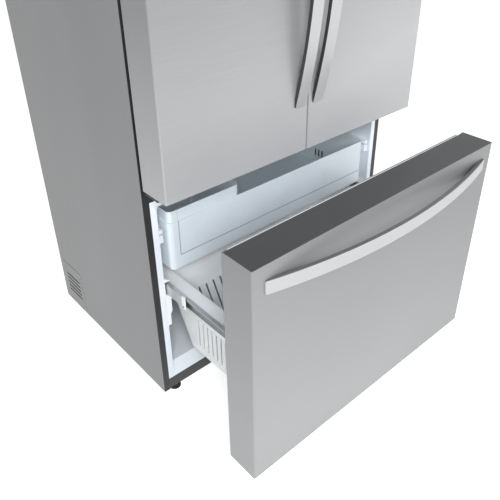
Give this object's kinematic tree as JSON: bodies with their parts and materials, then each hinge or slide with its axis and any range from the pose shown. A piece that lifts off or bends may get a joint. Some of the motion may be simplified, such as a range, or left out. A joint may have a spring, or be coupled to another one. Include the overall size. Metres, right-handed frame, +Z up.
{
  "type": "bottom freezer refrigerator",
  "caption": "French-door refrigerator with a pull-out freezer drawer below, bowed bar handles, a tray above the basket and telescopic slides.",
  "frame": {"origin": "on the floor, in the middle of the footprint as shown with the freezer drawer pulled out", "axes": "+Z up, +X to the right-hand side seen from in front, doors and drawer towards -Y"},
  "size_m": [0.908, 1.0808, 1.778],
  "materials": {
    "case_paint": "satin",
    "door_steel": "brushed",
    "handle_steel": "brushed",
    "galvanised": "satin",
    "rail_steel": "satin",
    "white_paint": "satin",
    "dark_plastic": "matte",
    "cap_plastic": "matte",
    "liner_plastic": "gloss",
    "foam": "matte",
    "seal": "matte",
    "clear_plastic": "clear",
    "white_plastic": "gloss",
    "grey_plastic": "matte",
    "pump_black": "satin",
    "fin_aluminium": "satin",
    "shelf_glass": "clear",
    "foot_rubber": "matte"
  },
  "bodies": {
    "cabinet": {"air_duct": "white_plastic", "back_panel": "galvanised", "base_frame": "galvanised", "cabinet_insulation": "foam", "centre_hinges": "galvanised", "compressor": "pump_black", "condenser_coil": "pump_black", "crossbar": "white_paint", "drain_pan": "dark_plastic", "drawer_covers": "shelf_glass", "evaporator": "fin_aluminium", "evaporator_cover": "liner_plastic", "fan_motors": "dark_plastic", "fixed_rails": "rail_steel", "freezer_liner": "liner_plastic", "fridge_liner": "liner_plastic", "front_sill": "white_paint", "gear_racks": "white_plastic", "hinge_covers": "cap_plastic", "outer_case": "case_paint", "rear_cover": "galvanised", "shelf_frames": "white_plastic", "shelf_panes": "shelf_glass", "shelf_tracks": "rail_steel", "slide_housings": "white_plastic", "top_hinges": "galvanised"},
    "left_door": {"left_door_skin": "door_steel", "left_door_caps": "cap_plastic", "left_door_liner": "liner_plastic", "left_door_gasket": "seal", "left_door_handle": "handle_steel", "left_door_bins": "clear_plastic"},
    "right_door": {"right_door_skin": "door_steel", "right_door_caps": "cap_plastic", "right_door_liner": "liner_plastic", "right_door_gasket": "seal", "right_door_handle": "handle_steel", "right_door_bins": "clear_plastic"},
    "flap": {"mullion_flap": "grey_plastic"},
    "drawer": {"drawer_skin": "door_steel", "drawer_caps": "cap_plastic", "drawer_liner": "liner_plastic", "drawer_gasket": "seal", "drawer_handle": "handle_steel", "drawer_rails": "rail_steel", "freezer_basket": "white_plastic"},
    "sync_bar": {"sync_bar": "rail_steel"},
    "middle_rail_left": {"middle_rail_left": "rail_steel"},
    "middle_rail_right": {"middle_rail_right": "rail_steel"},
    "tray": {"freezer_tray": "clear_plastic", "tray_bin": "clear_plastic"},
    "crisper_left": {"crisper_left": "clear_plastic"},
    "crisper_right": {"crisper_right": "clear_plastic"},
    "pantry": {"pantry_drawer": "clear_plastic"},
    "evaporator_fan": {"evaporator_fan": "white_plastic"},
    "condenser_fan": {"condenser_fan": "dark_plastic"},
    "leg_left": {"levelling_leg_left": "foot_rubber"},
    "leg_right": {"levelling_leg_right": "foot_rubber"},
    "roller_left": {"rear_roller_left": "dark_plastic"},
    "roller_right": {"rear_roller_right": "dark_plastic"}
  },
  "joints": [
    {"name": "left_door_hinge", "type": "hinge", "parent": "cabinet", "child": "left_door", "pos_m": [-0.436, -0.13055, 1.2], "axis": [0, 0, -1], "range_deg": [0, 120]},
    {"name": "right_door_hinge", "type": "hinge", "parent": "cabinet", "child": "right_door", "pos_m": [0.436, -0.13055, 1.2], "axis": [0, 0, 1], "range_deg": [0, 120]},
    {"name": "flap_hinge", "type": "hinge", "parent": "left_door", "child": "flap", "pos_m": [-0.034, -0.06975, 1.2], "axis": [0, 0, -1], "range_deg": [0, 90]},
    {"name": "drawer_slide", "type": "slide", "parent": "cabinet", "child": "drawer", "axis": [0, -1, 0], "range_m": [-0.2939, 0.136]},
    {"name": "middle_rail_left_slide", "type": "slide", "parent": "cabinet", "child": "middle_rail_left", "axis": [0, -1, 0], "range_m": [-0.147, 0.0681]},
    {"name": "middle_rail_right_slide", "type": "slide", "parent": "cabinet", "child": "middle_rail_right", "axis": [0, -1, 0], "range_m": [-0.147, 0.0681]},
    {"name": "sync_bar_turn", "type": "hinge", "parent": "drawer", "child": "sync_bar", "pos_m": [0, 0.07355, 0.362], "axis": [1, 0, 0], "range_deg": [-1410, 655]},
    {"name": "tray_slide", "type": "slide", "parent": "cabinet", "child": "tray", "axis": [0, -1, 0], "range_m": [0, 0.26]},
    {"name": "crisper_left_slide", "type": "slide", "parent": "cabinet", "child": "crisper_left", "axis": [0, -1, 0], "range_m": [0, 0.072]},
    {"name": "crisper_right_slide", "type": "slide", "parent": "cabinet", "child": "crisper_right", "axis": [0, -1, 0], "range_m": [0, 0.12]},
    {"name": "pantry_slide", "type": "slide", "parent": "cabinet", "child": "pantry", "axis": [0, -1, 0], "range_m": [0, 0.06]},
    {"name": "evaporator_fan_spin", "type": "hinge", "parent": "cabinet", "child": "evaporator_fan", "pos_m": [0, 0.44145, 0.56], "axis": [0, 1, 0], "continuous": true},
    {"name": "condenser_fan_spin", "type": "hinge", "parent": "cabinet", "child": "condenser_fan", "pos_m": [-0.09, 0.45745, 0.14], "axis": [1, 0, 0], "continuous": true},
    {"name": "leg_left_turn", "type": "hinge", "parent": "cabinet", "child": "leg_left", "pos_m": [-0.405, -0.05655, 0.02], "axis": [0, 0, 1], "continuous": true},
    {"name": "leg_right_turn", "type": "hinge", "parent": "cabinet", "child": "leg_right", "pos_m": [0.405, -0.05655, 0.02], "axis": [0, 0, 1], "continuous": true},
    {"name": "roller_left_spin", "type": "hinge", "parent": "cabinet", "child": "roller_left", "pos_m": [-0.405, 0.49345, 0.016], "axis": [1, 0, 0], "continuous": true},
    {"name": "roller_right_spin", "type": "hinge", "parent": "cabinet", "child": "roller_right", "pos_m": [0.405, 0.49345, 0.016], "axis": [1, 0, 0], "continuous": true}
  ],
  "couplings": [
    {"joint": "middle_rail_left_slide", "follows": "drawer_slide", "ratio": 0.5},
    {"joint": "middle_rail_right_slide", "follows": "drawer_slide", "ratio": 0.5},
    {"joint": "sync_bar_turn", "follows": "drawer_slide", "rad_per_m": 83.333}
  ]
}
